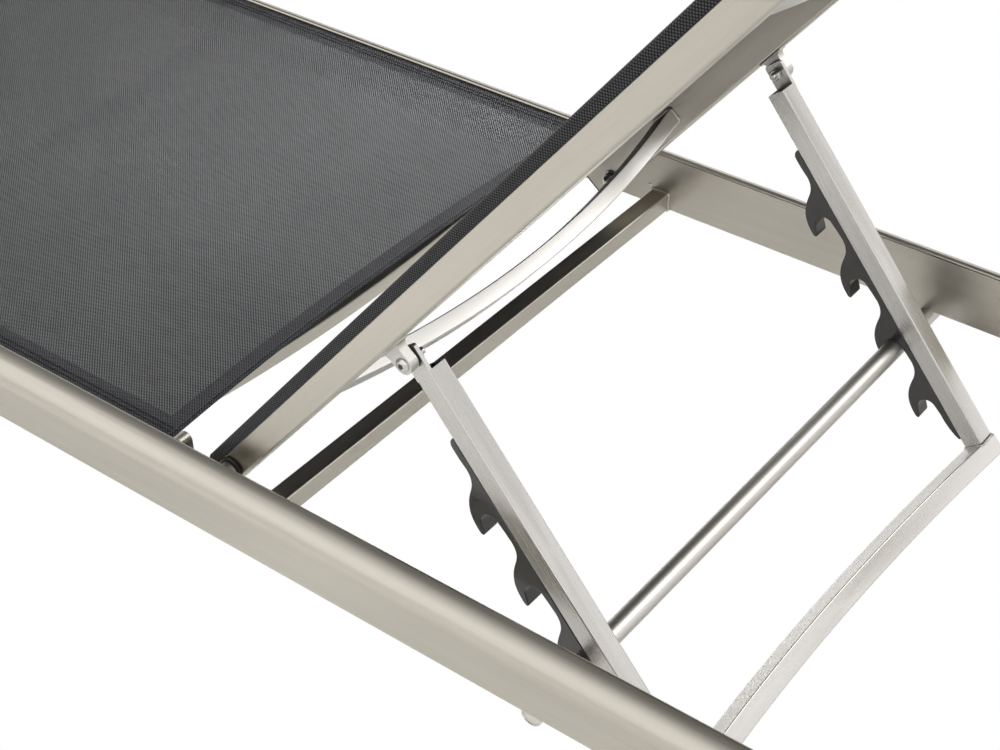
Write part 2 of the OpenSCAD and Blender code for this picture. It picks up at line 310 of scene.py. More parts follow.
def ramp(nt, source, stops):
    """A colour ramp over the source, from (place, colour) stops."""
    r = nt.nodes.new("ShaderNodeValToRGB")
    els = r.color_ramp.elements
    while len(els) < len(stops):
        els.new(0.5)
    for e, (p, c) in zip(els, stops):
        e.position = p
        e.color = (*c, 1)
    nt.links.new(source, r.inputs[0])
    return r.outputs[0]


def math_node(nt, op, a, b=None, c=None):
    """A Math node, with each input a number or another node's output."""
    n = nt.nodes.new("ShaderNodeMath")
    n.operation = op
    for i, v in enumerate((a, b, c)):
        if v is None:
            continue
        if isinstance(v, (int, float)):
            n.inputs[i].default_value = v
        else:
            nt.links.new(v, n.inputs[i])
    return n.outputs[0]


def metal(name, dark, light, rough, spread=0.10, brush=1.0, aniso=0.5):
    """Metal with fine brushing along its grain."""
    m, nt, b, _ = new_material(name)
    b.inputs["Metallic"].default_value = 1.0
    fine = node(nt, "ShaderNodeTexNoise", Scale=1.0, Detail=4.0, Roughness=0.65)
    nt.links.new(grain_map(nt, (14, 1500, 1500)), fine.inputs["Vector"])
    broad = node(nt, "ShaderNodeTexNoise", Scale=1.0, Detail=3.0, Roughness=0.5)
    nt.links.new(grain_map(nt, (5, 150, 150)), broad.inputs["Vector"])
    cloud = node(nt, "ShaderNodeTexNoise", Scale=1.0, Detail=2.0)
    nt.links.new(grain_map(nt, (9, 22, 22)), cloud.inputs["Vector"])
    mix = math_node(nt, "MULTIPLY", broad.outputs["Fac"], 0.35)
    mix = math_node(nt, "MULTIPLY_ADD", fine.outputs["Fac"], 0.45, mix)
    mix = math_node(nt, "MULTIPLY_ADD", cloud.outputs["Fac"], 0.2, mix)
    nt.links.new(ramp(nt, mix, [(0.34, dark), (0.66, light)]), b.inputs["Base Color"])
    lo = rough - spread / 2
    nt.links.new(math_node(nt, "MULTIPLY_ADD", mix, spread * 2.2, lo - spread * 0.6), b.inputs["Roughness"])
    b.inputs["Anisotropic"].default_value = aniso
    if brush:
        bump = node(nt, "ShaderNodeBump", Strength=0.012 * brush, Distance=0.0002)
        nt.links.new(fine.outputs["Fac"], bump.inputs["Height"])
        nt.links.new(bump.outputs[0], b.inputs["Normal"])
    return m


def moulded(name, colour, rough, bump_size=900, strength=0.12, coat=0.0):
    """Plastic, rubber or thread with a fine grain, a little uneven in tone."""
    m, nt, b, _ = new_material(name)
    spots = node(nt, "ShaderNodeTexNoise", Scale=1.0, Detail=3.0, Roughness=0.6)
    nt.links.new(grain_map(nt, (bump_size,) * 3), spots.inputs["Vector"])
    wide = node(nt, "ShaderNodeTexNoise", Scale=1.0, Detail=2.0)
    nt.links.new(grain_map(nt, (60, 60, 60)), wide.inputs["Vector"])
    lo, hi = [c * 0.8 for c in colour], [min(1, c * 1.25) for c in colour]
    nt.links.new(ramp(nt, wide.outputs["Fac"], [(0.35, lo), (0.65, hi)]), b.inputs["Base Color"])
    uneven = math_node(nt, "MULTIPLY_ADD", wide.outputs["Fac"], 0.12, rough - 0.06)
    nt.links.new(uneven, b.inputs["Roughness"])
    b.inputs["Coat Weight"].default_value = coat
    bump = node(nt, "ShaderNodeBump", Strength=strength, Distance=0.0002)
    nt.links.new(spots.outputs["Fac"], bump.inputs["Height"])
    nt.links.new(bump.outputs[0], b.inputs["Normal"])
    return m


def mesh_cloth(name, dark, light, see_through, pitch, yarn_shading, spec=0.35):
    """Coated sling mesh: a checker of over and under yarns, with small holes between them. The colour runs
    from near black between the yarns to light on their crossings: painted shade and painted highlight.
    """
    m, nt, b, out = new_material(name)
    at = node(nt, "ShaderNodeAttribute", attribute_name="grain")
    sep = nt.nodes.new("ShaderNodeSeparateXYZ")
    nt.links.new(at.outputs["Vector"], sep.inputs[0])
    k = math.pi / (pitch * MM)
    sx = math_node(nt, "SINE", math_node(nt, "MULTIPLY", sep.outputs["X"], k))
    sy = math_node(nt, "SINE", math_node(nt, "MULTIPLY", sep.outputs["Y"], k))
    weave = math_node(nt, "MULTIPLY_ADD", math_node(nt, "MULTIPLY", sx, sy), 0.5, 0.5)
    wear = node(nt, "ShaderNodeTexNoise", Scale=1.0, Detail=3.0, Roughness=0.55)
    nt.links.new(grain_map(nt, (40, 260, 40)), wear.inputs["Vector"])
    cloud = node(nt, "ShaderNodeTexNoise", Scale=1.0, Detail=2.0)
    nt.links.new(grain_map(nt, (6, 6, 6)), cloud.inputs["Vector"])
    # painted highlight on the yarn crossings and painted shade between the yarns, following the weave
    tone = math_node(nt, "MULTIPLY", weave, yarn_shading)
    tone = math_node(nt, "MULTIPLY_ADD", wear.outputs["Fac"], 0.35, tone)
    tone = math_node(nt, "ADD", tone, 0.26 - yarn_shading / 2)
    tone = math_node(nt, "MULTIPLY_ADD", cloud.outputs["Fac"], 0.12, tone)
    nt.links.new(ramp(nt, tone, [(0.42, dark), (0.88, light)]), b.inputs["Base Color"])
    b.inputs["Roughness"].default_value = 0.5
    b.inputs["Specular IOR Level"].default_value = spec
    b.inputs["Sheen Weight"].default_value = 0.05
    b.inputs["Sheen Roughness"].default_value = 0.4
    bump = node(nt, "ShaderNodeBump", Strength=0.6, Distance=0.0006)
    nt.links.new(weave, bump.inputs["Height"])
    nt.links.new(bump.outputs[0], b.inputs["Normal"])
    if see_through:
        hole = math_node(nt, "POWER", math_node(nt, "SUBTRACT", 1.0, weave), 3.0)
        hole = math_node(nt, "MULTIPLY", hole, see_through / 0.22)
        nt.links.new(math_node(nt, "SUBTRACT", 1.0, hole), b.inputs["Alpha"])
    return m


METAL = metal("champagne_aluminium", (0.465, 0.442, 0.392), (0.54, 0.514, 0.456), 0.36)
CUT = metal("polished_aluminium", (0.485, 0.47, 0.45), (0.565, 0.555, 0.54), 0.27, 0.08, 0.7)
PALE = metal("pale_aluminium", (0.63, 0.615, 0.595), (0.70, 0.69, 0.675), 0.30, 0.03, 0.0)
CAST = metal("cast_aluminium", (0.50, 0.485, 0.465), (0.57, 0.56, 0.54), 0.36, 0.08, 0.4, 0.0)
ROD_METAL = metal("satin_aluminium", (0.62, 0.60, 0.575), (0.68, 0.665, 0.64), 0.42, 0.06, 0.0, 0.0)
WELD = metal("weld_bead", (0.42, 0.40, 0.37), (0.58, 0.56, 0.53), 0.34, 0.08, 0.3, 0.0)
STEEL = metal("stainless_steel", (0.50, 0.50, 0.49), (0.64, 0.64, 0.63), 0.24, 0.08, 0.3, 0.0)
BLACK = moulded("black_plastic", (0.018, 0.018, 0.019), 0.55)
RACK = moulded("rack_plastic", (0.013, 0.012, 0.012), 0.30, 1400, 0.06, 0.35)
NYLON = moulded("washer_nylon", (0.014, 0.014, 0.015), 0.40)
RUBBER = moulded("keder_cord", (0.02, 0.02, 0.02), 0.6)
# near black, painted shade: for the bottom of an open tube end and the walls of the bolt sockets
PAINTED_SHADE = moulded("painted_shade_dark", (0.035, 0.033, 0.03), 0.7)
CLOTH = mesh_cloth("sling_mesh", (0.003, 0.003, 0.004), (0.084, 0.088, 0.089), 0.075, 1.6, 1.2)
# the hem cloth is doubled and lets no light through; its colour is also set darker than the cloth's: painted
# shade
SHADED_HEM = mesh_cloth("sling_hem_painted_shade", (0.001, 0.001, 0.002), (0.05, 0.051, 0.054), 0.0, 1.5, 1.3, spec=0.15)
# the back's wrap is doubled as well, and its colour is set darker in the same way: painted shade
SHADED_WRAP = mesh_cloth("sling_wrap_painted_shade", (0.001, 0.001, 0.001), (0.055, 0.055, 0.06), 0.0, 1.5, 1.5, spec=0.15)
THREAD = moulded("stitching", (0.012, 0.012, 0.013), 0.6, 2500, 0.3)


# ---------------------------------------------------------------- frame
RAIL_CORNER = 1.4
SLOT_Z, SLOT_HALF = SLING_UP + 1.9, 0.45
CHANNEL_IN, CHANNEL_R = 4.4, 2.2


def rail_profile():
    """Y from the outer face, Z from the underside, with the keder channel open to the inner face."""
    corner = RAIL_CORNER
    out = arc(corner, corner, corner, 180, 270, 4) + arc(RAIL_W - corner, corner, corner, 270, 360, 4)
    out += [(RAIL_W, SLOT_Z - SLOT_HALF)]
    out += arc(RAIL_W - CHANNEL_IN, SLOT_Z, CHANNEL_R, -12, -348, 16)
    out += [(RAIL_W, SLOT_Z + SLOT_HALF)]
    # the rounded inner edge runs into the crown, which ends on the outer face
    dx, reach = CROWN_R - RAIL_W + EDGE_R, CROWN_R - EDGE_R
    dz = math.sqrt(reach ** 2 - dx ** 2)
    turn = 180 - math.degrees(math.atan2(dz, dx))
    out += arc(RAIL_W - EDGE_R, FLAT + dz, EDGE_R, 0, turn, 12)
    out += arc(CROWN_R, FLAT, CROWN_R, turn, 180, 30)[1:]
    return out


for side, flip in SIDES:
    s = Shape()
    outline = [(y - HALF_W, z + RAIL_Z) for y, z in rail_profile()]
    s.prism(outline, CAP_T - HALF_L, HALF_L - CAP_T, "x", 24)
    s.build(f"rail_{side}", "frame", [METAL], [f"side_rail_{side}"], sharp=30, slot="frame_metal", flip=flip)

cap_top = FLAT + math.sqrt(CROWN_R ** 2 - (CROWN_R - RAIL_W) ** 2)
caps = Shape()
for sign in (-1, 1):
    for mirror in (-1, 1):
        rings = []
        for inset, x in ((0.0, HALF_L - CAP_T), (0.0, HALF_L - 1.2), (0.5, HALF_L - 0.4), (1.4, HALF_L)):
            ring = [(inset, inset), (RAIL_W - inset, inset), (RAIL_W - inset, cap_top - inset)]
            ring += arc(CROWN_R, FLAT, CROWN_R - inset, 104, 180, 16)
            rings.append([(sign * x, mirror * (y - HALF_W), z + RAIL_Z) for y, z in ring])
        caps.loft(rings)
caps.build("rail_caps", "frame", [BLACK], ["rail_end_caps"], slot="black_plastic")


def cross_tube(name, cad):
    """A square tube between the rails, level with their underside, with a weld round each end."""
    at = (mid(cad)[0], RAIL_Z + SQUARE / 2)
    s = Shape(grain="yxz")
    s.prism(rounded(SQUARE, SQUARE, 1.8, 5, at), -RAIL_IN, RAIL_IN, "y", 12)
    s.build(name, "frame", [METAL], [cad], sharp=30, slot="frame_metal")
    w = Shape(grain="yxz")
    for y in (-RAIL_IN + 0.6, RAIL_IN - 0.6):
        weld(w, [(u, y, v) for u, v in rounded(SQUARE + 0.6, SQUARE + 0.6, 2.4, 5, at)], 1.9)
    w.build(name + "_welds", "frame", [WELD], slot="frame_metal")


cross_tube("square_bar", "square_cross_tube")
cross_tube("head_bar", "head_cross_tube")
cross_tube("foot_bar", "foot_cross_tube")

BRACE_W, BRACE_T = 28.0, 15.0
SEAT_BOW, SEAT_BRACE_UP = 27.0, 53.2


def brace(cad, body, place, half, bow, at, corner, finish, bead):
    """A bowed box tube from -half to half. The bead is its inset, radius, width, height and corner."""
    s = Shape(place, grain="yxz")
    rings, along = bowed_rings(half, bow, BRACE_W, BRACE_T, at, corner)
    s.loft(rings, along=along)
    s.build(cad + "_tube", body, [finish], [cad], sharp=30, slot="frame_metal")
    inset, radius, *outline = bead
    w = Shape(place)
    for y in (-half + inset, half - inset):
        weld(w, [(at[0] + u, y, at[2] - 0.4 + v) for u, v in rounded(*outline)], radius)
    w.build(cad + "_welds", body, [WELD], slot="frame_metal")


for cad in ("seat_brace_rear", "seat_brace_middle", "seat_brace_front"):
    brace_at = (mid(cad)[0], 0, RAIL_Z + SEAT_BRACE_UP)
    brace(cad, "frame", IDENTITY, RAIL_IN, SEAT_BOW, brace_at, 1.5, METAL, (0.6, 1.8, 28.6, 16, 2.6))

# support rod, with its plugged ends under the rails
rod_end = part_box("support_rod")[1][1] / MM
lip = [(1.0, 7.4), (1.0, 7.9), (0, 8.3), (0, 9.1)]
chamfer = 0.5
run = 2 * (rod_end - chamfer)
s = Shape(grain="yxz")
s.lathe([(-rod_end + depth, r) for depth, r in lip]
        + [(-rod_end + chamfer + run * i / 14, ROD_R) for i in range(15)]
        + [(rod_end - depth, r) for depth, r in lip[::-1]], (ROD[0], 0, ROD[2]), n=64)
s.build("rod_tube", "frame", [ROD_METAL], ["support_rod", "rod_end_plugs"], sharp=30, slot="bare_aluminium")
s = Shape()
for y in (-1, 1):
    for dx in (-1, 1):
        bead = [(ROD[0] + dx * 5.6, y * (RAIL_IN + t), RAIL_Z - 0.2) for t in (0.5, 9, 17)]
        weld(s, bead, 1.5, closed=False)
s.build("rod_welds", "frame", [WELD], slot="frame_metal")

# four legs, and the glides under them
LEG_W, LEG_T, GLIDE_TOP = 40, 21, 10
for end in ("foot", "head"):
    at = mid(f"leg_{end}_left")[:2]
    for side, flip in SIDES:
        name = f"{end}_leg_{side}"
        s = Shape(grain="zxy")
        s.prism(rounded(LEG_W, LEG_T, 3.2, 6, at), GLIDE_TOP, RAIL_Z, "z", 6)
        s.build(name, "frame", [METAL], [f"leg_{end}_{side}"], sharp=30, slot="frame_metal", flip=flip)
        w = Shape(grain="zxy")
        weld(w, [(u, v, RAIL_Z - 0.5) for u, v in rounded(LEG_W + 0.4, LEG_T + 0.4, 3.4, 6, at)], 1.5)
        w.build(name + "_weld", "frame", [WELD], slot="frame_metal", flip=flip)
glides = Shape()
for end in ("foot", "head"):
    at = (mid(f"leg_{end}_left")[0], -HALF_W + 11.5)
    for sy in (-1, 1):
        rings = []
        for z, inset in ((0, 1.6), (0.5, 0.6), (1.6, 0), (8.6, 0), (9.6, 0.5), (10, 1.2), (12, 1.6)):
            ring = rounded(LEG_W + 2 - 2 * inset, LEG_T + 2 - 2 * inset, 4 - inset, 6, at)
            rings.append([(u, sy * v, z) for u, v in ring])
        glides.loft(rings)
glides.build("leg_glides", "frame", [BLACK], ["foot_glides"], slot="black_plastic")

# the pivots: stud, spacer ring, washer and domed nut, from the rail inwards
STUD_R, SPACER_R, WASHER_R, NUT_R, DOME_R = 4, 8.5, 11.5, 9, 5.8
centre = (PIVOT.x / MM, 0, PIVOT.z / MM)
washer_out, washer_in = BACK_OUT + 2.8, BACK_OUT + 0.4
nut_at = BACK_IN - 0.4
flange_in, hex_in, dome_at = nut_at - 1.4, nut_at - 6.4, nut_at - 5.2
dome = [(dome_at - DOME_R * math.sin(math.radians(a)), DOME_R * math.cos(math.radians(a)))
        for a in range(0, 91, 10)]
spacer, washer, nut, stud = Shape(grain="yxz"), Shape(), Shape(), Shape(grain="yxz")
for k in (-1, 1):
    spacer.lathe(outward(k, [(RAIL_IN, 4.2), (RAIL_IN, SPACER_R), (washer_out + 0.7, SPACER_R),
                             (washer_out, 7.8), (washer_out, 4.2)]), centre)
    washer.lathe(outward(k, ring_steps(washer_out, washer_in, 4.1, WASHER_R, 0.5, 0.6)), centre)
    stud.lathe(outward(k, [(RAIL_IN + 2, 0.5), (RAIL_IN + 2, STUD_R), (BACK_IN - 2, STUD_R),
                           (BACK_IN - 2, 0.5)]), centre)
    nut.lathe(outward(k, ring_steps(nut_at, flange_in, 3, NUT_R, 0.3, 0.3)), centre)
    nut.lathe(outward(k, [(flange_in, 3), (flange_in, 7.0), (flange_in - 0.5, 7.4), (hex_in + 0.8, 7.4),
                          (hex_in, 6.6), (hex_in, 3)]), centre, n=6)
    nut.lathe(outward(k, [(dome_at, 1)] + dome), centre)
spacer.build("pivot_spacer_rings", "frame", [METAL], ["pivot_spacers"], slot="frame_metal")
washer.build("pivot_washer_rings", "frame", [NYLON], ["pivot_washers"], slot="washer_nylon")
stud.build("pivot_stud_bars", "frame", [STEEL], ["pivot_studs"], slot="stainless_steel")
nut.build("pivot_domed_nuts", "frame", [STEEL], ["pivot_cap_nuts"], sharp=30, slot="stainless_steel")

rivet_x, _, rivet_z = mid("frame_rivets")
s = Shape()
for k in (-1, 1):
    s.lathe(outward(k, [(RAIL_IN + 0.2, 3.2), (RAIL_IN - 0.3, 3.2), (RAIL_IN - 0.8, 2.6),
                        (RAIL_IN - 0.8, 1.5), (RAIL_IN - 0.3, 1.3)]), (rivet_x, 0, rivet_z), n=32)
s.build("rail_rivets", "frame", [STEEL], ["frame_rivets"], slot="stainless_steel")

STOP_R, STOP_H, STOP_T = 7, 19, 12
stop_x, stop_top = mid("sling_stops")[0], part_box("sling_stops")[1][2] / MM
outline = [(stop_x + STOP_R, stop_top - STOP_H), (stop_x + STOP_R, stop_top - STOP_R)]
outline += arc(stop_x, stop_top - STOP_R, STOP_R, 8, 172, 20)
outline += [(stop_x - STOP_R, stop_top - STOP_R), (stop_x - STOP_R, stop_top - STOP_H)]
s = Shape()
for k in (-1, 1):
    s.prism(outline, k * RAIL_IN, k * (RAIL_IN - STOP_T), "y")
s.build("sling_stop_tabs", "frame", [METAL], ["sling_stops"], bevel=0.8, slot="frame_metal")


# ---------------------------------------------------------------- seat sling
SEAT_FOOT, SEAT_REAR, EDGE_DIP, SEAT_SAG = -948.0, 109.0, 16.5, 5.0
SEAT_L, SEAT_W = SEAT_REAR - SEAT_FOOT, 2 * (RAIL_IN + TUCK)
HEM_X, HEM_Y = 20.0, 26.0


def sling_edge(y, end):
    """X of the sling's edge: both edges curve in towards the middle of the width."""
    dip = EDGE_DIP * (1 - (y / RAIL_IN) ** 2)
    return SEAT_REAR - dip if end > 0 else SEAT_FOOT + dip


def seat_point(u, v, lift=0.0):
    """u runs from the foot end to the rear edge, v across, both from 0 to 1."""
    y = (2 * v - 1) * (RAIL_IN + TUCK)
    x0, x1 = sling_edge(y, -1), sling_edge(y, 1)
    x = x0 + (x1 - x0) * u
    slack = 0.55 + 0.45 * math.sin(math.pi * min(1, max(0, u))) ** 0.6
    sag = SEAT_SAG * (1 - (abs(y) / RAIL_IN) ** 2.2) * slack
    return (x, y, RAIL_Z + SLING_UP - sag * (abs(y) < RAIL_IN) + lift)


def sheet_shape(shape, us, vs, point, thick, mat_of):
    """A closed sheet of even thickness over a grid, with material 1 on its rim."""
    nu, nv = len(us), len(vs)
    top = [point(u, v, thick / 2) for u in us for v in vs]
    bottom = [point(u, v, -thick / 2) for u in us for v in vs]
    faces, mats, n = [], [], nu * nv
    for i in range(nu - 1):
        for j in range(nv - 1):
            a, b, c, d = i * nv + j, i * nv + j + 1, (i + 1) * nv + j + 1, (i + 1) * nv + j
            faces += [[a, b, c, d], [n + d, n + c, n + b, n + a]]
            mats += [mat_of(us[i], us[i + 1], vs[j], vs[j + 1])] * 2
    rim = ([i * nv for i in range(nu)] + [(nu - 1) * nv + j for j in range(1, nv)]
           + [i * nv + nv - 1 for i in range(nu - 2, -1, -1)] + [j for j in range(nv - 2, 0, -1)])
    for a, b in zip(rim, rim[1:] + rim[:1]):
        faces.append([a, b, n + b, n + a])
        mats.append(1)
    base = len(shape.faces)
    shape.add(top + bottom, faces)
    shape.mats[base:] = mats


def hem_grid(edge, steps):
    """Places from 0 to 1: the marks of one edge, even steps between the hems, and the marks mirrored."""
    hem = edge[-1]
    return edge + [hem + (1 - 2 * hem) * i / steps for i in range(1, steps)] + [1 - e for e in edge[::-1]]


hem_u, hem_v = HEM_X / SEAT_L, HEM_Y / SEAT_W


def hem_mat(u0, u1, v0, v1):
    """Material 1 for a cell of the grid that lies in a hem."""
    tiny = 1e-6
    across = u1 <= hem_u + tiny or u0 >= 1 - hem_u - tiny
    return int(across or v1 <= hem_v + tiny or v0 >= 1 - hem_v - tiny)


seat = Shape()
sheet_shape(seat, hem_grid([0, hem_u / 2, hem_u], 40), hem_grid([0, TUCK / SEAT_W, hem_v / 2, hem_v], 30),
            seat_point, SLING_T, hem_mat)
# the hems and the rim take the darker hem cloth, whose darkness is partly painted shade
seat_ob = seat.build("seat_cloth", "frame", [CLOTH, SHADED_HEM], ["seat_sling"], slot="sling_fabric", sharp=60)


def stitches(shape, points, lift, length=3.4, gap=1.2, r=0.42):
    """Short raised stitches along a line."""
    pts = [Vector(p) for p in points]
    up = Vector(lift)
    marks = [0.0]
    for a, b in zip(pts, pts[1:]):
        marks.append(marks[-1] + (b - a).length)

    def where(s):
        i = next((i for i in range(len(pts) - 2) if s <= marks[i + 1]), len(pts) - 2)
        t = (s - marks[i]) / max(marks[i + 1] - marks[i], 1e-6)
        return pts[i] + (pts[i + 1] - pts[i]) * t

    d = 0.0
    while d + length < marks[-1]:
        a, m, b = where(d), where(d + length / 2), where(d + length)
        shape.sweep([a - up * 0.6, a + up * 0.25, m + up * 0.5, b + up * 0.25, b - up * 0.6], r, 6)
        d += length + gap


seam = Shape()
for inset in (10.0, 15.0):
    for v in (inset / SEAT_W, 1 - inset / SEAT_W):
        stitches(seam, [seat_point(i / 40, v, 0.7) for i in range(41)], (0, 0, 1))
seam.build("seat_stitches", "frame", [THREAD], slot="sling_fabric")
roll_in = 4.5 / SEAT_L
edge_rolls = Shape(grain="yxz")
for u in (roll_in, 1 - roll_in):
    edge_rolls.sweep([seat_point(u, 0.012 + 0.976 * i / 60, 0.3) for i in range(61)], 1.25, 10)
# the rolled edges take the darker hem cloth, whose darkness is partly painted shade
edge_rolls.build("seat_rolled_edges", "frame", [SHADED_HEM], slot="sling_fabric")


# ---------------------------------------------------------------- backrest
LOW, STEP, HIGH, RECESS = -11.3, 11.5, 20.7, 1.6
TUBE_CORNER = 3


def back_profile():
    """Y from the outer face inwards, Z from the pivot line."""
    r, w = TUBE_CORNER, TUBE_W
    out = arc(r, LOW + r, r, 180, 270, 6) + arc(w - r, LOW + r, r, 270, 360, 6)
    out += arc(w - r, HIGH - r, r, 0, 90, 6) + arc(RECESS + r, HIGH - r, r, 90, 180, 6)
    out += [(RECESS, STEP + 0.3), (RECESS - 0.3, STEP), (0.5, STEP), (0, STEP - 0.5)]
    return out


for side, flip in SIDES:
    s = Shape(BACK)
    s.prism([(y - BACK_OUT, z) for y, z in back_profile()], BACK_START, BACK_L, "x", 14)
    s.build(f"back_side_{side}", "backrest", [METAL], [f"back_tube_{side}"], sharp=30, slot="frame_metal",
            flip=flip)

s = Shape(BACK)
for x, d in ((BACK_START, -1), (BACK_L, 1)):
    for k in (-1, 1):
        rings = []
        for dx, inset in ((0, 0.0), (1.5, 0.0), (2.2, 0.4), (2.5, 1.1)):
            size = (TUBE_W - 2 * inset, HIGH - LOW - 2 * inset)
            ring = rounded(*size, 3.2, 5, (TUBE_W / 2, (HIGH + LOW) / 2))
            rings.append([(x + d * dx, k * (y - BACK_OUT), z) for y, z in ring])
        s.loft(rings)
s.build("back_side_caps", "backrest", [BLACK], ["back_tube_caps"], slot="black_plastic")

BACK_BOW, BACK_BRACE_UP = 30, 7.2
for cad, x in (("back_brace_lower", 112), ("back_brace_upper", 718)):
    brace_at = (x, 0, BACK_BRACE_UP)
    brace(cad, "backrest", BACK, BACK_IN, BACK_BOW, brace_at, 1.1, PALE, (0.5, 1.9, 28.8, 16.4, 2.8))

# back sling: one sheet over both tubes, tucked into their outer grooves
flap = BACK_OUT - RECESS + 0.2


def back_section(lift):
    """Half the section, from the groove over the tube to the middle, lifted off the sheet's mid surface."""
    r, o = 2.6 + lift, flap + 0.6 + lift
    z_top = HIGH + 0.7 + lift
    pts = [(-flap + 1.6, STEP + 0.5 - lift * 0.2), (-o + 0.5, STEP + 0.3), (-o, STEP + 1.4), (-o, z_top - r)]
    for a in (math.radians(d) for d in (22, 45, 68, 90)):
        pts.append((-o + r - r * math.cos(a), z_top - r + r * math.sin(a)))
    pts += [(-BACK_IN + 4, z_top)]
    for i in range(1, 13):
        y = -BACK_IN + 4 + (BACK_IN - 4) * i / 12
        pts.append((y, z_top - 3.0 * (1 - (y / BACK_IN) ** 2)))
    return pts


def back_line(lift):
    """The whole section: the half and its mirror image."""
    half = back_section(lift)
    return half + [(-y, z) for y, z in half[-2::-1]]


def back_sheet(x0, x1, steps):
    """The back sling from x0 to x1 along the tubes."""
    outer, inner = back_line(SLING_T / 2), back_line(-SLING_T / 2)
    n = len(outer)
    run = [0.0]
    for a, b in zip(outer, outer[1:]):
        run.append(run[-1] + math.hypot(b[0] - a[0], b[1] - a[1]))
    run = [r - run[-1] / 2 for r in run]
    rings, along = [], []
    for i in range(steps + 1):
        x = x0 + (x1 - x0) * i / steps
        rings.append([(x, *p) for p in outer] + [(x, *p) for p in inner[::-1]])
        along += [(x, r, 0) for r in run] + [(x, r, 0) for r in run[::-1]]
    s = Shape(BACK)
    s.loft(rings, along=along)
    # each end cap is one many-sided face, and becomes a strip of quads from the outer to the inner line
    ends = s.faces[-2:]
    del s.faces[-2:], s.mats[-2:]
    for base in map(min, ends):
        for j in range(n - 1):
            s.faces.append([base + j, base + j + 1, base + 2 * n - 2 - j, base + 2 * n - 1 - j])
            s.mats.append(0)
    return s


s = back_sheet(-20, BACK_L - 12, 48)
# the wrap down the outer faces and the two end hems are doubled, so they let no light through; their darker
# colour is painted shade as well
for i, f in enumerate(s.faces):
    c = sum((s.points[j] for j in f), Vector()) / len(f)
    if abs(c.y) > BACK_IN - 8 or c.x < 12 or c.x > BACK_L - 44:
        s.mats[i] = 1
back_ob = s.build("back_cloth", "backrest", [CLOTH, SHADED_WRAP], ["backrest_sling"], slot="sling_fabric", sharp=50)

# ---------------------------------------------------------------- hinge
HINGE_X, HINGE_Z = 263.0, -27.0
LUG_R, LUG_IN, LUG_T = 8.6, PROP_OUT + 1.8, 9.0
FLARE_R, FLARE_OUT = 6.5, 15.1
LUG_OUT = LUG_IN + LUG_T
flare_z = LOW - FLARE_R
lug_line = arc(HINGE_X, HINGE_Z, LUG_R, 180, 360, 24)
lug_line += arc(HINGE_X + FLARE_OUT, flare_z, FLARE_R, 180, 90, 10)
lug_line += arc(HINGE_X - FLARE_OUT, flare_z, FLARE_R, 90, 0, 10)
for side, flip in SIDES:
    s = Shape(BACK)
    s.prism(lug_line, -LUG_OUT, -LUG_IN, "y")
    s.build(f"lug_{side}", "backrest", [CAST], [f"hinge_lug_{side}"], bevel=1.0, segments=3, sharp=40,
            slot="frame_metal", flip=flip)
    w = Shape(BACK)
    bead = [(HINGE_X + u, v - LUG_IN - LUG_T / 2, LOW + 0.1) for u, v in rounded(29, 9.6, 2)]
    weld(w, bead, 1.3)
    w.build(f"lug_{side}_weld", "backrest", [WELD], slot="frame_metal", flip=flip)

HEAD_R, SHANK_R, HEX_R = 6.2, 3, 5.8
centre = (HINGE_X, 0, HINGE_Z)
nut_at = PROP_OUT - 3.9
dome = [(LUG_OUT + 3.2 - 2.4 * (r / HEAD_R) ** 2, r) for r in (2.7, 3.6, 4.5, 5.3, 5.9, HEAD_R)]
bolt, wash, nuts, socket = Shape(BACK, grain="yxz"), Shape(BACK), Shape(BACK), Shape(BACK)
for k in (-1, 1):
    bolt.lathe(outward(k, dome + [(LUG_OUT, HEAD_R), (LUG_OUT, SHANK_R)]), centre)
    socket.lathe(outward(k, [(LUG_OUT + 2.85, 2.7), (LUG_OUT + 2.2, 2.5), (LUG_OUT + 0.4, 2.4),
                             (LUG_OUT + 0.4, 0.1)]), centre, n=6)
    shank = [(LUG_OUT, SHANK_R), (PROP_OUT - 12.6, SHANK_R), (PROP_OUT - 13, 2.6)]
    bolt.lathe(outward(k, shank), centre, n=32)
    wash.lathe(outward(k, ring_steps(LUG_IN, LUG_IN - 1.4, 3.1, 8.2, 0.3, 0.2)), centre)
    nuts.lathe(outward(k, ring_steps(nut_at, nut_at - 5, 3.1, HEX_R, 0.5, 0.5)), centre, n=6)
bolt.build("hinge_button_bolts", "backrest", [STEEL], ["hinge_bolts"], sharp=35, slot="stainless_steel")
# the sockets' walls get the near-black material: painted shade in the recess
socket.build("hinge_bolt_sockets", "backrest", [PAINTED_SHADE], slot="stainless_steel")
wash.build("hinge_washer_rings", "backrest", [NYLON], ["hinge_washers"], slot="washer_nylon")
nuts.build("hinge_hex_nuts", "backrest", [STEEL], ["hinge_nuts"], sharp=25, slot="stainless_steel")

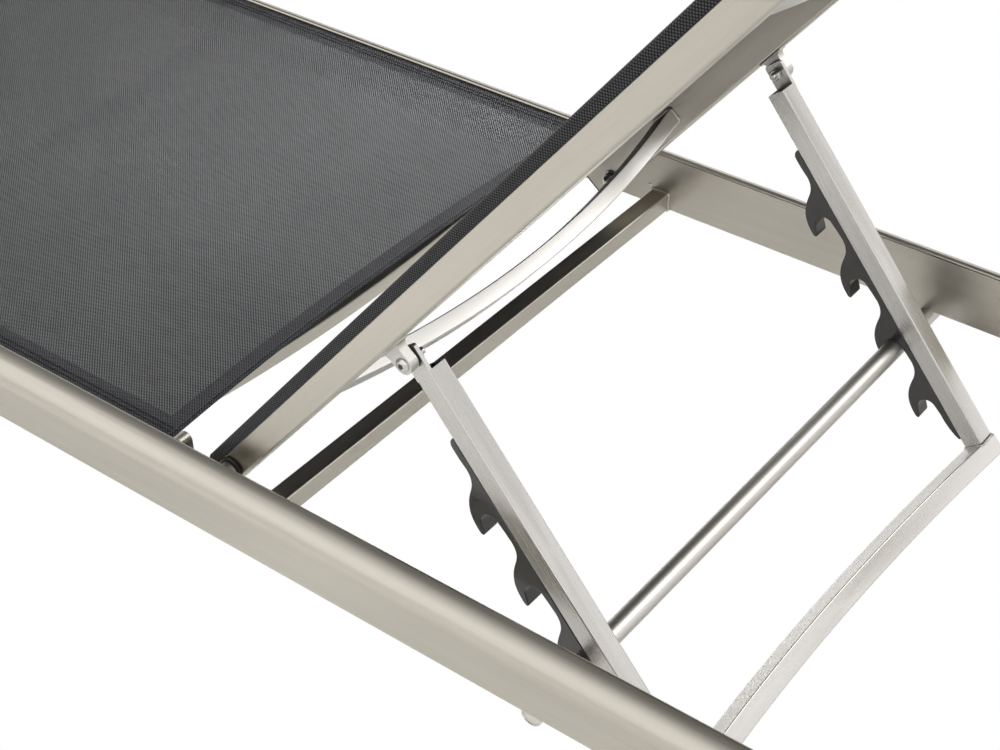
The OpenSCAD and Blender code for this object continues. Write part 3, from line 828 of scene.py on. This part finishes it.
# ---------------------------------------------------------------- prop frame
CUT_AT, CUT_DEPTH, TONGUE_T = 14.0, 40, 3.5
tongue = arc(-7, 7, 3, 90, 180, 8) + arc(-7, -7, 3, 180, 270, 8)
tongue += [(CUT_AT + 6, -9.9), (CUT_AT + 6, 9.9)]
at = (-PROP_OUT + SQUARE / 2, 0)
outer, inner = rounded(SQUARE, SQUARE, 1.6, 5, at), rounded(16, 16, 0.8, 5, at)
for side, flip in SIDES:
    s = Shape(PROP)
    rings = [[(x, *p) for p in inner] for x in (CUT_AT + CUT_DEPTH, CUT_AT)]
    rings += [[(x, *p) for p in outer] for x in (CUT_AT, 120, 230, 320, PROP_L)]
    s.loft(rings)
    # the cap at the bottom of the open end is in the dark, so it gets the near-black material: painted shade
    s.mats[-2] = 1
    s.prism(tongue, -PROP_OUT + 0.01, -PROP_OUT + TONGUE_T, "y", mat=2)
    s.build(f"prop_side_{side}", "prop", [CUT, PAINTED_SHADE, CAST], [f"prop_leg_{side}"], sharp=30,
            slot="frame_metal", flip=flip)

s = Shape(PROP, grain="yxz")
rings, along = bowed_rings(PROP_OUT, 23, SQUARE, SQUARE, (PROP_L + SQUARE / 2, 0, 3), 1.3)
s.loft(rings, along=along)
s.build("prop_foot_bar", "prop", [PALE], ["prop_cross_tube"], sharp=30, slot="frame_metal")
w = Shape(PROP)
for k in (-1, 1):
    bead = rounded(SQUARE + 0.4, SQUARE + 0.4, 2.2, 5)
    weld(w, [(PROP_L + 0.3, k * (PROP_OUT - SQUARE / 2) + u, v) for u, v in bead], 1.8)
w.build("prop_welds", "prop", [WELD], slot="frame_metal")

# racks of teeth: the back of a hook is drawn as (along the leg, out from it), round the middle of its notch
PITCH, TOOTH_S, TOOTH_D, NOTCH_R, TEETH = 68.5, 149.0, 17.7, 9.85, 4
HOOK_BACK = [(-50, 6.2), (-44, 7.2), (-38.5, 10), (-34.5, 13.8), (-30.5, 19), (-25.5, 24.6), (-19.5, 29.3),
             (-13, 32.5), (-5.5, 34.2), (1.5, 34.6), (4.9, 34.2), (6.5, 32.7), (5.8, 30.9), (1.8, 29.1),
             (-2.8, 27.4)]
STRIP_START = [(71, 0), (71.4, 2.6), (72.6, 4.8), (75, 6.6), (78, 7.2), (88, 7.2)]
STRIP_END = [(372, 6.7), (380, 5.8), (388, 4), (393, 2), (394, 0)]


def rack_line():
    """The outline of a rack, from the strip's start over the teeth to its end."""
    hook = smooth_line(HOOK_BACK, 4) + arc(0, TOOTH_D, NOTCH_R, 110, 268, 22) + [(9, 6.8)]
    out = list(STRIP_START)
    for i in range(TEETH):
        out += [(TOOTH_S + i * PITCH + a, b) for a, b in hook]
    return out + STRIP_END


for side in ("left", "right"):
    y0, y1 = (corner[1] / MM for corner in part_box(f"rack_{side}"))
    s = Shape(PROP)
    s.prism([(a, -SQUARE / 2 - b) for a, b in rack_line()], y0, y1, "y")
    s.build(f"tooth_rack_{side}", "prop", [RACK], [f"rack_{side}"], bevel=0.9, segments=3, sharp=50,
            slot="rack_plastic")

# the remaining CAD nodes keep their shape and get a finish
for cad in ("seat_keders", "back_keders"):
    ob = frame["nodes"][cad]
    ob.data.materials.clear()
    ob.data.materials.append(RUBBER)

# ---------------------------------------------------------------- floor, light and camera
FLOOR_HALF = 14
corners = [(sx * FLOOR_HALF, sy * FLOOR_HALF, 0) for sx, sy in ((-1, -1), (1, -1), (1, 1), (-1, 1))]
floor_mesh = bpy.data.meshes.new("floor")
floor_mesh.from_pydata(corners, [], [(0, 1, 2, 3)])
floor = bpy.data.objects.new("floor", floor_mesh)
bpy.context.scene.collection.objects.link(floor)


def floor_finish():
    """Pure white to the camera, as on a cut-out studio sheet, and a lit pale floor in shade and mirrors."""
    m, nt, b, out = new_material("pale_floor")
    b.inputs["Base Color"].default_value = (0.88, 0.875, 0.86, 1)
    b.inputs["Roughness"].default_value = 0.9
    b.inputs["Specular IOR Level"].default_value = 0.1
    b.inputs["Emission Color"].default_value = (1, 1, 1, 1)
    b.inputs["Emission Strength"].default_value = 0.03
    white = node(nt, "ShaderNodeEmission", Color=(1, 1, 1, 1), Strength=1.0)
    path = nt.nodes.new("ShaderNodeLightPath")
    # a view through the sling's holes isn't direct, so the floor isn't pure white there
    unbroken = math_node(nt, "LESS_THAN", path.outputs["Transparent Depth"], 0.5)
    direct = math_node(nt, "MULTIPLY", path.outputs["Is Camera Ray"], unbroken)
    pick = nt.nodes.new("ShaderNodeMixShader")
    nt.links.new(direct, pick.inputs[0])
    nt.links.new(b.outputs[0], pick.inputs[1])
    nt.links.new(white.outputs[0], pick.inputs[2])
    nt.links.new(pick.outputs[0], out.inputs[0])
    return m


floor_mesh.materials.append(floor_finish())


def grey_ramp(nt, source, stops):
    """A ramp of greys over the source, from (place, level) stops."""
    return ramp(nt, source, [(place, (level,) * 3) for place, level in stops])


def studio_world():
    """A sky that is bright low down and dim overhead, with a soft panel high on the far side by the head."""
    world = bpy.data.worlds.new("studio")
    world.use_nodes = True
    nt = world.node_tree
    nt.nodes.clear()
    out = nt.nodes.new("ShaderNodeOutputWorld")
    sky_light = nt.nodes.new("ShaderNodeBackground")
    nt.links.new(sky_light.outputs[0], out.inputs[0])
    direction = nt.nodes.new("ShaderNodeTexCoord")
    sep = nt.nodes.new("ShaderNodeSeparateXYZ")
    nt.links.new(direction.outputs["Generated"], sep.inputs[0])
    height = math_node(nt, "MULTIPLY_ADD", sep.outputs["Y"], 0.375, sep.outputs["Z"])
    height = math_node(nt, "MULTIPLY_ADD", math_node(nt, "ABSOLUTE", sep.outputs["Y"]), -0.075, height)
    sky = grey_ramp(nt, math_node(nt, "MULTIPLY_ADD", height, 0.5, 0.5),
                    [(0.0, 1.0), (0.69, 1.0), (0.77, 0.35), (0.86, 0.12), (1.0, 0.11)])
    dot = nt.nodes.new("ShaderNodeVectorMath")
    dot.operation = "DOT_PRODUCT"
    dot.inputs[1].default_value = (0.46, 0.58, 0.672)
    nt.links.new(direction.outputs["Generated"], dot.inputs[0])
    panel = grey_ramp(nt, dot.outputs["Value"], [(0.86, 0.0), (0.93, 0.08), (0.955, 0.6), (0.97, 1.0)])
    total = math_node(nt, "MULTIPLY_ADD", panel, 3.3, math_node(nt, "MULTIPLY", sky, 1.45))
    sky_light.inputs["Color"].default_value = (1.0, 0.99, 0.975, 1)
    nt.links.new(total, sky_light.inputs["Strength"])
    return world


bpy.context.scene.world = studio_world()


def area(name, at, to, size, power, spread=180):
    """A soft white lamp at one place, turned to another, that no mirror shows."""
    data = bpy.data.lights.new(name, "AREA")
    data.shape = "RECTANGLE"
    data.size, data.size_y = size
    data.energy, data.spread = power, math.radians(spread)
    ob = bpy.data.objects.new(name, data)
    ob.location = at
    ob.rotation_euler = (Vector(to) - Vector(at)).to_track_quat("-Z", "Y").to_euler()
    ob.visible_glossy = False
    bpy.context.scene.collection.objects.link(ob)


area("overhead", (-0.2, -1.1, 3.3), (-0.1, -0.7, 0.0), (2.2, 1.8), 43)
area("far_soft", (0.12, 0.60, 0.90), (-0.15, 0.08, 0.29), (0.6, 0.4), 6.5, spread=85)

# the camera's place, with its yaw, pitch and roll in degrees
CAMERA_AT, CAMERA_TURN = (1.1318, -1.1338, 1.3809), (38.855, 38.213, -1.775)
cam_data = bpy.data.cameras.new("camera")
cam = bpy.data.objects.new("camera", cam_data)
bpy.context.scene.collection.objects.link(cam)
yaw, pitch, roll = (math.radians(a) for a in CAMERA_TURN)
ahead = Vector((-math.sin(yaw) * math.cos(pitch), math.cos(yaw) * math.cos(pitch), -math.sin(pitch)))
level = Vector((math.cos(yaw), math.sin(yaw), 0))
above = level.cross(ahead)
right = level * math.cos(roll) + above * math.sin(roll)
up = above * math.cos(roll) - level * math.sin(roll)
turned = Matrix((right, up, -ahead)).transposed()
cam.matrix_world = Matrix.Translation(CAMERA_AT) @ turned.to_4x4()
cam_data.sensor_width, cam_data.lens = 36, 69.88
cam_data.shift_x, cam_data.shift_y = 0.0048, -0.0049
cam_data.clip_end = 100
bpy.context.scene.camera = cam
bpy.context.scene.view_settings.view_transform = "Standard"
